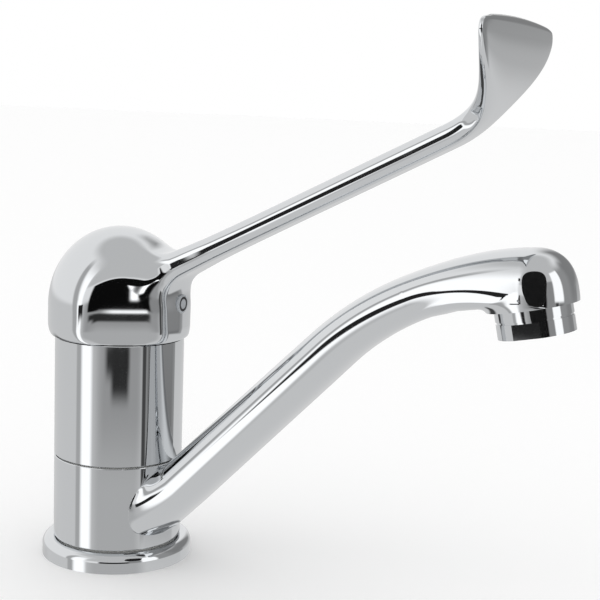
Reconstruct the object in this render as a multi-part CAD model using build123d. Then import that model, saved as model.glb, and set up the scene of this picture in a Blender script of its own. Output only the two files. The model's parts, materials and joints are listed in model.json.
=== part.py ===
from build123d import *
import math
import os

# Single-lever deck tap with a long elbow lever and a swivelling cast spout.
# Millimetres, +Z up, origin at the centre of the underside, spout and lever towards +X.

# Body and base
body_radius = 23.0
flange_radius = 27.0
flange_edge_height = 3.9
flange_height = 6.5
flange_crown_inset = 3.4
seal_inner_radius = 20.4
seal_width = 3.6
seal_depth = 1.6
spigot_radius = 18.0
swivel_clearance = 0.08
glide_thickness = 0.5
glide_width = 3.6
ring_height = 29.8
seam_gap = 0.4
head_height = 43.0
edge_chamfer = 0.25

# Seals of the swivel
o_ring_cord = 2.2
o_ring_inset = 3.2
o_ring_slack = 0.03
groove_margin = 0.2
groove_floor_gap = 0.05
mixed_water_groove_width = 14.0
mixed_water_groove_depth = 2.5

# Water ports of the body
inlet_thread_radius = 4.5
inlet_thread_depth = 11.0
inlet_bore_radius = 3.2
inlet_spread = 9.0
inlet_forward = 4.5
outlet_bore_radius = 3.5
outlet_back = 8.0
stud_hole_radius = 3.3
stud_hole_depth = 12.0
stud_back = 9.5

# Cartridge and its seat
nut_below_body_top = 1.6
cartridge_radius = 17.4
pocket_clearance = 0.1
nut_thread_radius = 19.0
thread_clearance = 0.08
cartridge_base_height = 4.5
port_seal_radius = 4.6
port_seal_depth = 1.2
fixed_disc_radius = 15.6
fixed_disc_height = 4.0
housing_wall = 1.6
moving_disc_radius = 11.0
moving_disc_height = 3.5
mixing_recess_radius = 6.5
mixing_recess_depth = 2.0
carrier_height = 8.8
carrier_gap = 0.6
housing_roof = 2.2
neck_radius = 13.4
neck_height = 8.4
turner_radius = 11.0
turner_flange_radius = 14.0
turner_flange_height = 2.3
turner_drop = 0.5
turning_clearance = 0.1
nut_height = 6.6
nut_notch_width = 4.0
nut_notch_depth = 2.4
nut_notch_reach = 3.2
nut_notch_count = 6

# Stem and its pin
pivot_below_neck_top = 5.6
stem_width = 8.0
stem_slot_clearance = 0.15
stem_slot_half_length = 7.3
stem_square_below_pivot = 4.3
stem_above_body_top = 22.6
stem_neck_radius = 2.6
ball_drop = 9.0
ball_radius = 3.5
ball_clearance = 0.35
pin_radius = 1.5
pin_hole_clearance = 0.02
pin_running_clearance = 0.06
pin_end_clearance = 0.2
lift_angle = 25.0

# Lever handle: dome
rim_gap = 0.3
dome_radius = 25.5
dome_shoulder_height = 11.0
dome_crown_height = 27.9
quarter_ellipse_share = 0.5523
dome_rim_round_height = 4.8
dome_rim_round_inset = 1.6
dome_clearance = 0.25
dome_wall = 2.6
facet_distance = 22.5
facet_angle = 55.0
facet_wall = 2.3
socket_radius = 8.0
socket_above_body_top = 5.8
socket_clearance = 0.05
socket_top_inset = 3.4
screw_boss_radius = 4.5
screw_radius = 2.45
screw_clearance = 0.05
screw_length = 10.0
screw_key_width = 2.5
screw_key_depth = 3.0
screw_above_rim = 13.4
plug_radius = 3.35
plug_depth = 1.9
plug_proud = 0.45
plug_clearance = 0.05

# Lever handle: arm and elbow paddle
arm_start = 6.0
arm_pass_above_rim = 17.54
arm_slope = 27.0
arm_bend_start = 121.2
arm_bend_radius = 35.2
paddle_straight = 4.7
paddle_half_width = 38.5
arm_half_thickness = 3.9
lever_corner_share = 0.88
# Each row: share of the path from dome to tip, share of the paddle's half width,
# share of the arm's half thickness
lever_section_shares = [
    (0.0, 0.257, 1.45),
    (0.105, 0.262, 1.34),
    (0.155, 0.226, 1.16),
    (0.22, 0.199, 1.04),
    (0.35, 0.183, 1.0),
    (0.52, 0.176, 0.98),
    (0.66, 0.178, 0.97),
    (0.76, 0.184, 0.95),
    (0.79, 0.197, 0.93),
    (0.815, 0.234, 0.88),
    (0.84, 0.33, 0.78),
    (0.865, 0.475, 0.66),
    (0.89, 0.645, 0.55),
    (0.92, 0.83, 0.44),
    (0.95, 0.955, 0.36),
    (0.975, 0.998, 0.33),
    (0.99, 0.975, 0.32),
    (1.0, 0.9, 0.31),
]

# Spout: arm
spout_start = 5.0
spout_axis_rise = 1.05
spout_slope = 45.0
spout_bend_start = 84.0
spout_bend_radius = 102.0
spout_end_slope = 12.0
spout_half_width = 14.2
spout_half_thickness = 8.7
spout_corner_share = 0.86
# Each row: share of the path from the ring to the end of the bend,
# share of the half width, share of the half thickness
spout_section_shares = [
    (0.0, 1.3, 1.02),
    (0.06, 1.27, 1.02),
    (0.1, 1.22, 1.02),
    (0.135, 1.14, 1.02),
    (0.165, 1.085, 1.01),
    (0.2, 1.045, 1.0),
    (0.25, 1.02, 1.0),
    (0.35, 1.0, 1.0),
    (0.55, 0.985, 0.98),
    (0.66, 0.98, 0.955),
    (0.78, 0.975, 0.92),
    (0.9, 0.98, 0.9),
    (1.0, 0.99, 0.95),
]

# Spout: nose and waterway
nose_radius = 14.3
nose_reach = 149.5
nose_height = 109.1
nozzle_lean = 12.3
nose_rim_drop = 3.4
nose_join_share = 0.97
nose_round_share = 0.98
waterway_radius = 4.5
thread_radius = 11.0
thread_depth = 6.6
chamber_radius = 9.2
chamber_depth = 9.6

# Aerator
collar_radius = 12.2
collar_length = 8.8
collar_flat_height = 4.8
collar_flat_distance = 11.4
collar_groove_depth = 0.35
collar_groove_height = 0.7
collar_bore_radius = 9.4
collar_lip = 0.9
collar_lip_height = 1.2
washer_thickness = 1.6
washer_bore_radius = 7.4
insert_height = 9.0
insert_wall = 1.2
insert_clearance = 0.05
insert_rib_width = 0.9
insert_rib_count = 4
mesh_thickness = 0.8
mesh_bar_width = 0.7
mesh_bar_count = 7

overrun = 1.0

# Heights that follow from the sizes above
ring_bottom = flange_height + glide_thickness
ring_top = ring_bottom + ring_height
head_bottom = ring_top + seam_gap
head_top = head_bottom + head_height
ring_bore_radius = spigot_radius + swivel_clearance
rim_bottom = head_top + rim_gap
shoulder_level = rim_bottom + dome_shoulder_height
dome_top = shoulder_level + dome_crown_height
screw_level = rim_bottom + screw_above_rim
cavity_radius = body_radius + dome_clearance
arm_pass_height = rim_bottom + arm_pass_above_rim
housing_top = head_top - nut_below_body_top - nut_height
neck_top = housing_top + neck_height
pivot_height = neck_top - pivot_below_neck_top
ball_level = pivot_height - ball_drop
disc_travel = ball_drop * math.radians(lift_angle)
disc_centre = -disc_travel / 2
turner_flange_top = housing_top - housing_roof - turning_clearance
carrier_bottom = turner_flange_top - turner_flange_height - carrier_gap - carrier_height
moving_disc_bottom = carrier_bottom - moving_disc_height
fixed_disc_bottom = moving_disc_bottom - fixed_disc_height
housing_height = housing_top - fixed_disc_bottom
seat_height = fixed_disc_bottom - cartridge_base_height
turner_bore_radius = turner_radius + turning_clearance


def bar(radius, bottom, height, x=0, y=0):
    """An upright cylinder that stands on a given height."""
    return Pos(x, y, bottom) * Cylinder(radius, height, align=(Align.CENTER, Align.CENTER, Align.MIN))


def tube(outer, inner, bottom, height):
    """An upright ring between two radii."""
    return bar(outer, bottom, height) - bar(inner, bottom - overrun, height + 2 * overrun)


def rod_along_x(radius, start, length, height):
    """A cylinder along +X from a given place."""
    turned = Plane(origin=(start, 0, height), z_dir=(1, 0, 0))
    return turned * Cylinder(radius, length, align=(Align.CENTER, Align.CENTER, Align.MIN))


def rod_along_y(radius, length, height):
    """A cylinder along Y, centred on the tap's axis."""
    turned = Plane(origin=(0, 0, height), z_dir=(0, 1, 0))
    return turned * Cylinder(radius, length)


def turned_profile(edges):
    """A solid of revolution about Z from a closed outline of edges in the XZ plane."""
    return revolve(make_face(edges), Axis.Z)


def cord_ring(radius, level):
    """An O-ring of the swivel, round the spigot."""
    return Pos(0, 0, level) * Torus(radius, o_ring_cord / 2)


def section(x, z, slope, half_width, half_thickness, corner_share):
    """A rounded bar section square to a path that rises towards +X by a slope in degrees."""
    angle = math.radians(slope)
    across = Plane(origin=(x, 0, z), x_dir=(0, 1, 0), z_dir=(math.cos(angle), 0, math.sin(angle)))
    corner = corner_share * min(half_width, half_thickness)
    return across * RectangleRounded(2 * half_width, 2 * half_thickness, corner)


def path_point(travel, start, slope, bend_start, bend_radius, turn):
    """Place and slope on a path: a straight run, one bend, and a straight run again.

    start and bend_start are (x, z) places; turn is positive for a bend upwards, in degrees.
    """
    straight = math.dist(start, bend_start)
    bend = bend_radius * math.radians(abs(turn))
    if travel <= straight:
        angle = math.radians(slope)
        return start[0] + travel * math.cos(angle), start[1] + travel * math.sin(angle), slope
    sign = 1 if turn > 0 else -1
    turned = min(travel - straight, bend) / bend * turn
    first = math.radians(slope)
    last = math.radians(slope + turned)
    x = bend_start[0] + sign * bend_radius * (math.sin(last) - math.sin(first))
    z = bend_start[1] + sign * bend_radius * (math.cos(first) - math.cos(last))
    rest = max(0, travel - straight - bend)
    return x + rest * math.cos(last), z + rest * math.sin(last), slope + turned


# Base flange, its seal and the glide rings of the swivel

def base_flange():
    """The foot ring that carries the swivel, with a crowned top and a seal groove below."""
    crown_radius = flange_radius - flange_crown_inset
    middle_radius = flange_radius - flange_crown_inset * (1 - math.sqrt(0.5))
    middle_height = flange_edge_height + (flange_height - flange_edge_height) * math.sqrt(0.5)
    crown = ThreePointArc(
        (flange_radius, 0, flange_edge_height),
        (middle_radius, 0, middle_height),
        (crown_radius, 0, flange_height),
    )
    rest = Polyline(
        (crown_radius, 0, flange_height),
        (spigot_radius + thread_clearance, 0, flange_height),
        (spigot_radius + thread_clearance, 0, 0),
        (flange_radius, 0, 0),
        (flange_radius, 0, flange_edge_height),
    )
    groove = tube(seal_inner_radius + seal_width, seal_inner_radius, 0, seal_depth)
    return turned_profile([crown, rest]) - groove


def base_seal():
    """The flat seal in the groove of the flange, level with its underside."""
    return tube(seal_inner_radius + seal_width, seal_inner_radius, 0, seal_depth)


def glide_ring(bottom, thickness):
    """A thin plastic ring that the swivel turns on."""
    return tube(ring_bore_radius + glide_width, ring_bore_radius, bottom, thickness)


# Body: head, spigot, water ports and cartridge pocket

o_ring_levels = [ring_bottom + o_ring_inset, ring_top - o_ring_inset]
o_ring_radius = spigot_radius + swivel_clearance - o_ring_slack - o_ring_cord / 2
water_groove_level = (ring_bottom + ring_top) / 2 - o_ring_inset / 2


def mixer_body():
    """The cast body: a round head, and below it the spigot that the spout swivels on."""
    body = bar(spigot_radius, 0, head_bottom + overrun)
    head = bar(body_radius, head_bottom, head_height)
    head = chamfer(head.edges().filter_by(GeomType.CIRCLE), edge_chamfer)
    body += head
    for level in o_ring_levels:
        groove_height = o_ring_cord + groove_margin
        inner = o_ring_radius - o_ring_cord / 2 - groove_floor_gap
        body -= tube(spigot_radius + overrun, inner, level - groove_height / 2, groove_height)
    water_groove_bottom = water_groove_level - mixed_water_groove_width / 2
    water_groove_inner = spigot_radius - mixed_water_groove_depth
    body -= tube(spigot_radius + overrun, water_groove_inner, water_groove_bottom, mixed_water_groove_width)
    pocket_radius = cartridge_radius + pocket_clearance
    body -= bar(pocket_radius, seat_height, head_top - seat_height + overrun)
    nut_bore_height = head_top - housing_top
    body -= bar(nut_thread_radius, housing_top, nut_bore_height + overrun)
    for y in (-inlet_spread, inlet_spread):
        body -= bar(inlet_thread_radius, -overrun, inlet_thread_depth + overrun, inlet_forward, y)
        body -= bar(inlet_bore_radius, 0, seat_height + overrun, inlet_forward, y)
    body -= bar(stud_hole_radius, -overrun, stud_hole_depth + overrun, -stud_back)
    outlet_height = seat_height - water_groove_level
    body -= bar(outlet_bore_radius, water_groove_level, outlet_height + overrun, -outlet_back)
    port_length = spigot_radius + overrun - outlet_back
    body -= rod_along_x(outlet_bore_radius, -spigot_radius - overrun, port_length, water_groove_level)
    return body


# Cartridge

port_places = [(inlet_forward, -inlet_spread), (inlet_forward, inlet_spread), (-outlet_back, 0)]


def cartridge_base():
    """The bottom plate with its three water ports and the counterbores of their seals."""
    plate = bar(cartridge_radius, seat_height, cartridge_base_height)
    for x, y in port_places:
        plate -= bar(inlet_bore_radius, seat_height - overrun, cartridge_base_height + 2 * overrun, x, y)
        plate -= bar(port_seal_radius, seat_height - overrun, port_seal_depth + overrun, x, y)
    return plate


def port_seals():
    """Three seal rings between the cartridge and the body."""
    rings = []
    for x, y in port_places:
        ring = tube(port_seal_radius, inlet_bore_radius, 0, port_seal_depth)
        rings.append(Pos(x, y, seat_height) * ring)
    return Compound(children=rings)


def fixed_disc():
    """The lower ceramic disc, with the three ports."""
    disc = bar(fixed_disc_radius, fixed_disc_bottom, fixed_disc_height)
    for x, y in port_places:
        disc -= bar(inlet_bore_radius, fixed_disc_bottom - overrun, fixed_disc_height + 2 * overrun, x, y)
    return disc


def moving_disc():
    """The upper ceramic disc, with the recess that joins the ports."""
    disc = bar(moving_disc_radius, moving_disc_bottom, moving_disc_height, disc_centre)
    recess_height = mixing_recess_depth + overrun
    return disc - bar(mixing_recess_radius, moving_disc_bottom - overrun, recess_height, disc_centre)


def disc_carrier():
    """The slide on the moving disc, with a pocket for the ball of the stem."""
    carrier = bar(moving_disc_radius, carrier_bottom, carrier_height, disc_centre)
    pocket_radius = ball_radius + ball_clearance
    pocket_bottom = ball_level - pocket_radius
    pocket_height = carrier_bottom + carrier_height - pocket_bottom
    return carrier - bar(pocket_radius, pocket_bottom, pocket_height + overrun)


def cartridge_housing():
    """The cartridge's shell, stepped in to a neck that guides the turning piece."""
    shell = bar(cartridge_radius, fixed_disc_bottom, housing_height)
    shell += bar(neck_radius, fixed_disc_bottom, housing_height + neck_height)
    inside_height = housing_height - housing_roof
    shell -= bar(cartridge_radius - housing_wall, fixed_disc_bottom - overrun, inside_height + overrun)
    return shell - bar(turner_bore_radius, fixed_disc_bottom, housing_height + neck_height + overrun)


def stem_turner():
    """The piece that turns in the neck and holds the pin of the stem."""
    bottom = turner_flange_top - turner_flange_height
    turner = bar(turner_flange_radius, bottom, turner_flange_height)
    turner += bar(turner_radius, bottom, neck_top - turner_drop - bottom)
    slot_width = stem_width + 2 * stem_slot_clearance
    turner -= Pos(0, 0, pivot_height) * Box(2 * stem_slot_half_length, slot_width, 2 * housing_height)
    return turner - rod_along_y(pin_radius + pin_hole_clearance, 2 * turner_flange_radius, pivot_height)


def stem_pin():
    """The pivot pin of the stem."""
    return rod_along_y(pin_radius, 2 * (turner_radius - pin_end_clearance), pivot_height)


def cartridge_stem():
    """The square lever of the cartridge, with a round neck and the ball that moves the disc."""
    square_bottom = pivot_height - stem_square_below_pivot
    square_height = head_top + stem_above_body_top - square_bottom
    upright = (Align.CENTER, Align.CENTER, Align.MIN)
    stem = Pos(0, 0, square_bottom) * Box(stem_width, stem_width, square_height, align=upright)
    stem = chamfer(stem.faces().sort_by(Axis.Z)[-1].edges(), edge_chamfer)
    stem += bar(stem_neck_radius, ball_level, square_bottom - ball_level + overrun)
    stem += Pos(0, 0, ball_level) * Sphere(ball_radius)
    return stem - rod_along_y(pin_radius + pin_running_clearance, 2 * stem_width, pivot_height)


def cartridge_nut():
    """The nut that clamps the cartridge, with notches for its key."""
    outer = nut_thread_radius - thread_clearance
    inner = neck_radius + thread_clearance
    nut = tube(outer, inner, housing_top, nut_height)
    notch_level = housing_top + nut_height
    for number in range(nut_notch_count):
        notch = Box(2 * nut_notch_reach, nut_notch_width, 2 * nut_notch_depth)
        nut -= Rot(0, 0, number * 360 / nut_notch_count) * Pos(outer, 0, notch_level) * notch
    return nut


# Lever handle

def dome_profile(radius, crown, bottom):
    """Half of the dome's outline: a plain skirt from a given height, closed by a quarter ellipse."""
    top = shoulder_level + crown
    side_pull = (radius, 0, shoulder_level + quarter_ellipse_share * crown)
    top_pull = (quarter_ellipse_share * radius, 0, top)
    crown_edge = Bezier((radius, 0, shoulder_level), side_pull, top_pull, (0, 0, top))
    skirt = Polyline((0, 0, top), (0, 0, bottom), (radius, 0, bottom), (radius, 0, shoulder_level))
    return make_face([crown_edge, skirt])


def facet_blocks(distance):
    """Two blocks that lie beyond the flats on the sides of the dome."""
    size = 2 * dome_radius
    block = Pos(distance + size / 2, 0, shoulder_level) * Box(size, 2 * size, 4 * size)
    return [Rot(0, 0, side * facet_angle) * block for side in (-1, 1)]


def dome():
    """The outside of the dome: a crowned cap with a rounded rim and two side flats."""
    cap = revolve(dome_profile(dome_radius, dome_crown_height, rim_bottom), Axis.Z)
    bulge_radius = dome_radius - dome_rim_round_inset * (1 - math.sqrt(0.5))
    bulge_level = rim_bottom + dome_rim_round_height * (1 - math.sqrt(0.5))
    rim_round = ThreePointArc(
        (dome_radius - dome_rim_round_inset, 0, rim_bottom),
        (bulge_radius, 0, bulge_level),
        (dome_radius, 0, rim_bottom + dome_rim_round_height),
    )
    rim_rest = Polyline(
        (dome_radius, 0, rim_bottom + dome_rim_round_height),
        (dome_radius + overrun, 0, rim_bottom + dome_rim_round_height),
        (dome_radius + overrun, 0, rim_bottom - overrun),
        (dome_radius - dome_rim_round_inset, 0, rim_bottom - overrun),
        (dome_radius - dome_rim_round_inset, 0, rim_bottom),
    )
    cap -= turned_profile([rim_round, rim_rest])
    for block in facet_blocks(facet_distance):
        cap -= block
    return cap


def dome_cavity():
    """The hollow of the dome: round behind, and following the side flats in front."""
    crown = dome_crown_height - dome_wall
    hollow = revolve(dome_profile(cavity_radius, crown, rim_bottom - overrun), Axis.Z)
    for block in facet_blocks(facet_distance - facet_wall):
        hollow -= block
    return hollow


def lever_path(share):
    """Place and slope on the lever's path for a share of its length."""
    start = (arm_start, arm_pass_height)
    angle = math.radians(arm_slope)
    straight = (arm_bend_start - arm_start) / math.cos(angle)
    bend_place = (arm_bend_start, arm_pass_height + straight * math.sin(angle))
    turn = 90 - arm_slope
    length = straight + arm_bend_radius * math.radians(turn) + paddle_straight
    return path_point(share * length, start, arm_slope, bend_place, arm_bend_radius, turn)


def lever_arm():
    """The long arm and its elbow paddle, one loft of rounded sections along the path."""
    sections = []
    for share, width_share, thickness_share in lever_section_shares:
        x, z, slope = lever_path(share)
        half_width = width_share * paddle_half_width
        half_thickness = thickness_share * arm_half_thickness
        sections.append(section(x, z, slope, half_width, half_thickness, lever_corner_share))
    return loft(sections)


def lever_handle():
    """Dome, arm and paddle as one casting, hollow below, with the socket of the stem."""
    handle = dome() + lever_arm()
    handle -= dome_cavity()
    socket_bottom = head_top + socket_above_body_top
    socket_height = dome_top - socket_top_inset - socket_bottom
    handle += bar(socket_radius, socket_bottom, socket_height)
    boss_length = dome_radius - overrun - stem_width / 2
    handle += rod_along_x(screw_boss_radius, stem_width / 2, boss_length, screw_level)
    hole = stem_width + 2 * socket_clearance
    hole_height = head_top + stem_above_body_top + 2 * socket_clearance - socket_bottom
    upright = (Align.CENTER, Align.CENTER, Align.MIN)
    square_hole = Box(hole, hole, hole_height + overrun, align=upright)
    handle -= Pos(0, 0, socket_bottom - overrun) * square_hole
    handle -= rod_along_x(screw_radius + screw_clearance, 0, dome_radius + overrun, screw_level)
    plug_hole = plug_radius + plug_clearance
    return handle - rod_along_x(plug_hole, dome_radius - plug_depth, 2 * plug_depth + overrun, screw_level)


def grub_screw():
    """The screw that clamps the handle to the stem, with its key socket."""
    start = stem_width / 2
    screw = rod_along_x(screw_radius, start, screw_length, screw_level)
    key_plane = Plane(origin=(start + screw_length - screw_key_depth, 0, screw_level), z_dir=(1, 0, 0))
    key = key_plane * RegularPolygon(screw_key_width / 2, 6, major_radius=False)
    return screw - extrude(key, screw_key_depth + overrun)


def index_plug():
    """The round temperature mark that covers the grub screw."""
    seat = dome_radius - plug_depth
    plug = rod_along_x(plug_radius, seat, plug_depth + plug_proud, screw_level)
    front = plug.faces().sort_by(Axis.X)[-1]
    return fillet(front.edges(), plug_proud)


# Spout

def spout_path(share):
    """Place and slope on the spout's centre line for a share of its length."""
    rise = math.tan(math.radians(spout_slope))
    start = (spout_start, spout_axis_rise + spout_start * rise)
    bend_place = (spout_bend_start, spout_axis_rise + spout_bend_start * rise)
    turn = spout_end_slope - spout_slope
    length = math.dist(start, bend_place) + spout_bend_radius * math.radians(abs(turn))
    return path_point(share * length, start, spout_slope, bend_place, spout_bend_radius, turn)


def nozzle_plane(along):
    """A plane square to the nozzle, a given way below the nose's centre, facing down the jet."""
    lean = math.radians(nozzle_lean)
    down = (math.sin(lean), 0, -math.cos(lean))
    origin = (nose_reach + along * down[0], 0, nose_height + along * down[2])
    return Plane(origin=origin, x_dir=(0, 1, 0), z_dir=down)


def nozzle_bar(radius, start, length):
    """A cylinder on the nozzle's axis, between two distances below the nose's centre."""
    return nozzle_plane(start) * Cylinder(radius, length, align=(Align.CENTER, Align.CENTER, Align.MIN))


def spout_arm():
    """The cast arm, one loft of rounded sections that opens into the round nose."""
    sections = []
    for share, width_share, thickness_share in spout_section_shares:
        x, z, slope = spout_path(share)
        half_width = width_share * spout_half_width
        half_thickness = thickness_share * spout_half_thickness
        sections.append(section(x, z, slope, half_width, half_thickness, spout_corner_share))
    join_radius = nose_join_share * nose_radius
    sections.append(section(nose_reach, nose_height, 0, join_radius, join_radius, nose_round_share))
    return loft(sections)


def waterway():
    """The water passage along the centre line, from the swivel ring to the nose chamber."""
    rise = math.tan(math.radians(spout_slope))
    end_rise = math.tan(math.radians(spout_end_slope))
    start_x, start_z, _ = spout_path(0)
    end_x, end_z, _ = spout_path(1)
    middle_slope = math.radians((spout_slope + spout_end_slope) / 2)
    first_slope = math.radians(spout_slope)
    bend_z = spout_axis_rise + spout_bend_start * rise
    middle_x = spout_bend_start + spout_bend_radius * (math.sin(first_slope) - math.sin(middle_slope))
    middle_z = bend_z + spout_bend_radius * (math.cos(middle_slope) - math.cos(first_slope))
    straight = Line((start_x, 0, start_z), (spout_bend_start, 0, bend_z))
    bend = ThreePointArc((spout_bend_start, 0, bend_z), (middle_x, 0, middle_z), (end_x, 0, end_z))
    last = Line((end_x, 0, end_z), (nose_reach, 0, end_z + (nose_reach - end_x) * end_rise))
    mouth = Plane(origin=(start_x, 0, start_z), z_dir=(math.cos(first_slope), 0, math.sin(first_slope)))
    return sweep(mouth * Circle(waterway_radius), path=Wire([straight, bend, last]))


def spout():
    """The swivel ring, arm and nose as one casting, with its waterway and aerator thread."""
    casting = bar(body_radius, ring_bottom, ring_height)
    casting = chamfer(casting.edges().filter_by(GeomType.CIRCLE), edge_chamfer)
    casting += spout_arm()
    casting += Pos(nose_reach, 0, nose_height) * Sphere(nose_radius)
    casting -= nozzle_bar(nose_radius + 2 * overrun, nose_rim_drop, 2 * nose_radius)
    casting -= bar(flange_radius, ring_bottom - flange_radius, flange_radius)
    casting -= bar(ring_bore_radius, 0, ring_top + overrun)
    casting -= bar(body_radius + seam_gap, ring_top, ring_height)
    casting -= nozzle_bar(thread_radius, nose_rim_drop - thread_depth, 2 * thread_depth)
    casting -= nozzle_bar(chamber_radius, nose_rim_drop - chamber_depth, 2 * chamber_depth)
    return casting - waterway()


# Aerator

def aerator_collar():
    """The screwed collar of the aerator, with two spanner flats and a lip that holds the insert."""
    thread_length = thread_depth - washer_thickness
    thread_start = nose_rim_drop - thread_length
    collar = nozzle_bar(collar_radius, nose_rim_drop, collar_length)
    collar += nozzle_bar(thread_radius - thread_clearance, thread_start, thread_length + overrun)
    bore_length = thread_length + collar_length - collar_lip_height
    collar -= nozzle_bar(collar_bore_radius, thread_start - overrun, bore_length + overrun)
    collar -= nozzle_bar(collar_bore_radius - collar_lip, nose_rim_drop, collar_length + overrun)
    groove_start = nose_rim_drop + collar_length - collar_flat_height - collar_groove_height
    groove_floor = collar_radius - collar_groove_depth
    groove = nozzle_bar(collar_radius + overrun, groove_start, collar_groove_height)
    groove -= nozzle_bar(groove_floor, groove_start - overrun, collar_groove_height + 2 * overrun)
    collar -= groove
    flat_middle = nose_rim_drop + collar_length - collar_flat_height / 2
    for side in (-1, 1):
        block = Box(2 * collar_radius, 2 * collar_radius, collar_flat_height)
        offset = side * (collar_flat_distance + collar_radius)
        collar -= nozzle_plane(flat_middle) * Pos(offset, 0, 0) * block
    return collar


def aerator_washer():
    """The rubber washer between the collar and the thread's shoulder."""
    start = nose_rim_drop - thread_depth
    outer = thread_radius - thread_clearance
    washer = nozzle_bar(outer, start, washer_thickness)
    return washer - nozzle_bar(washer_bore_radius, start - overrun, washer_thickness + 2 * overrun)


insert_end = nose_rim_drop + collar_length - collar_lip_height - mesh_thickness


def aerator_insert():
    """The plastic jet mixer: a ring with crossed ribs."""
    start = insert_end - insert_height
    outer = collar_bore_radius - insert_clearance
    shell = nozzle_bar(outer, start, insert_height)
    shell -= nozzle_bar(outer - insert_wall, start - overrun, insert_height + 2 * overrun)
    rib = Box(2 * outer - insert_wall, insert_rib_width, insert_height)
    for number in range(insert_rib_count):
        turn = Rot(0, 0, number * 180 / insert_rib_count)
        shell += nozzle_plane(start + insert_height / 2) * turn * rib
    return shell


def aerator_mesh():
    """The outlet screen: a rim with crossed bars."""
    outer = collar_bore_radius - insert_clearance
    screen = nozzle_bar(outer, insert_end, mesh_thickness)
    screen -= nozzle_bar(outer - insert_wall, insert_end - overrun, mesh_thickness + 2 * overrun)
    inner = outer - insert_wall
    for number in range(mesh_bar_count):
        place = inner * (2 * (number + 1) / (mesh_bar_count + 1) - 1)
        reach = math.sqrt(inner ** 2 - place ** 2) + insert_wall / 2
        level = nozzle_plane(insert_end + mesh_thickness / 2)
        screen += level * Pos(0, place, 0) * Box(2 * reach, mesh_bar_width, mesh_thickness)
        screen += level * Pos(place, 0, 0) * Box(mesh_bar_width, 2 * reach, mesh_thickness)
    return screen


os.makedirs("parts", exist_ok=True)

pieces = {
    "base_flange": base_flange(),
    "base_seal": base_seal(),
    "lower_glide_ring": glide_ring(flange_height, glide_thickness),
    "upper_glide_ring": glide_ring(ring_top, seam_gap),
    "lower_o_ring": cord_ring(o_ring_radius, o_ring_levels[0]),
    "upper_o_ring": cord_ring(o_ring_radius, o_ring_levels[1]),
    "mixer_body": mixer_body(),
    "cartridge_base": cartridge_base(),
    "port_seals": port_seals(),
    "fixed_disc": fixed_disc(),
    "moving_disc": moving_disc(),
    "disc_carrier": disc_carrier(),
    "cartridge_housing": cartridge_housing(),
    "stem_turner": stem_turner(),
    "stem_pin": stem_pin(),
    "cartridge_stem": cartridge_stem(),
    "cartridge_nut": cartridge_nut(),
    "lever_handle": lever_handle(),
    "grub_screw": grub_screw(),
    "index_plug": index_plug(),
    "spout": spout(),
    "aerator_collar": aerator_collar(),
    "aerator_washer": aerator_washer(),
    "aerator_insert": aerator_insert(),
    "aerator_mesh": aerator_mesh(),
}
for name, shape in pieces.items():
    export_step(shape, f"parts/{name}.step")
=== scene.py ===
import json
import math

import bpy
import numpy as np
from mathutils import Matrix, Vector


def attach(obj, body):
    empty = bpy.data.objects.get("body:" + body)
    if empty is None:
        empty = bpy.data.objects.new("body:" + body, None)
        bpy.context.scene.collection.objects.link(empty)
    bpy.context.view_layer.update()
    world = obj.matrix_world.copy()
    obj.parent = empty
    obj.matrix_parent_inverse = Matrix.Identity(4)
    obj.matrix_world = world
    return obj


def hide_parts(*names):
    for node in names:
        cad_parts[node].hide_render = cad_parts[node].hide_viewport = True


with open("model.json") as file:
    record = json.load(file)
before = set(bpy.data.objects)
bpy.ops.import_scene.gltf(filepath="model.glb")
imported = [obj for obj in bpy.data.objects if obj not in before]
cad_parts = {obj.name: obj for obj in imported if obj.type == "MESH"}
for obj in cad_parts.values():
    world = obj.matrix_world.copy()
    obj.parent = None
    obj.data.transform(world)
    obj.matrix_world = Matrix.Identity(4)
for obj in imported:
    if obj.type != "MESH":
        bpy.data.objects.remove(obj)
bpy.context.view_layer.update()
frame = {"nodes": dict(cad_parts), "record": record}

MM = 0.001
# the part of a noise's own range that is spread over a finish
NOISE_RANGE = (0.3, 0.7)


# Colours and materials

def linear(hex_colour):
    """Linear RGBA of an sRGB hex colour such as "d8dadc"."""
    parts = [int(hex_colour[i:i + 2], 16) / 255 for i in (0, 2, 4)]
    return [c / 12.92 if c <= 0.04045 else ((c + 0.055) / 1.055) ** 2.4 for c in parts] + [1.0]


def add_node(material, kind, inputs=None, **settings):
    """One node of a material or world, with settings by attribute and inputs by socket name or number.

    An input is a value, or a socket to link.
    """
    node = material.node_tree.nodes.new(kind)
    for name, value in settings.items():
        setattr(node, name, value)
    for name, value in (inputs or {}).items():
        if isinstance(value, bpy.types.NodeSocket):
            material.node_tree.links.new(value, node.inputs[name])
        else:
            node.inputs[name].default_value = value
    return node


def new_material(name, **inputs):
    """A material with one shader whose sockets take the given values; returns it and the shader."""
    material = bpy.data.materials.new(name)
    material.use_nodes = True
    shader = material.node_tree.nodes["Principled BSDF"]
    for key, value in inputs.items():
        shader.inputs[key.replace("_", " ")].default_value = value
    return material, shader


def noise_between(material, scale, low_value, high_value, stretch=(1, 1, 1), detail=3.0):
    """A number that wanders between two values over the object, in its own coordinates."""
    coords = add_node(material, "ShaderNodeTexCoord")
    mapping = add_node(material, "ShaderNodeMapping", {"Vector": coords.outputs["Object"], "Scale": stretch})
    noise = add_node(material, "ShaderNodeTexNoise",
                     {"Vector": mapping.outputs["Vector"], "Scale": scale, "Detail": detail})
    spread = add_node(material, "ShaderNodeMapRange",
                      {"Value": noise.outputs["Fac"], "From Min": NOISE_RANGE[0], "From Max": NOISE_RANGE[1],
                       "To Min": low_value, "To Max": high_value})
    return spread.outputs["Result"]


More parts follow.
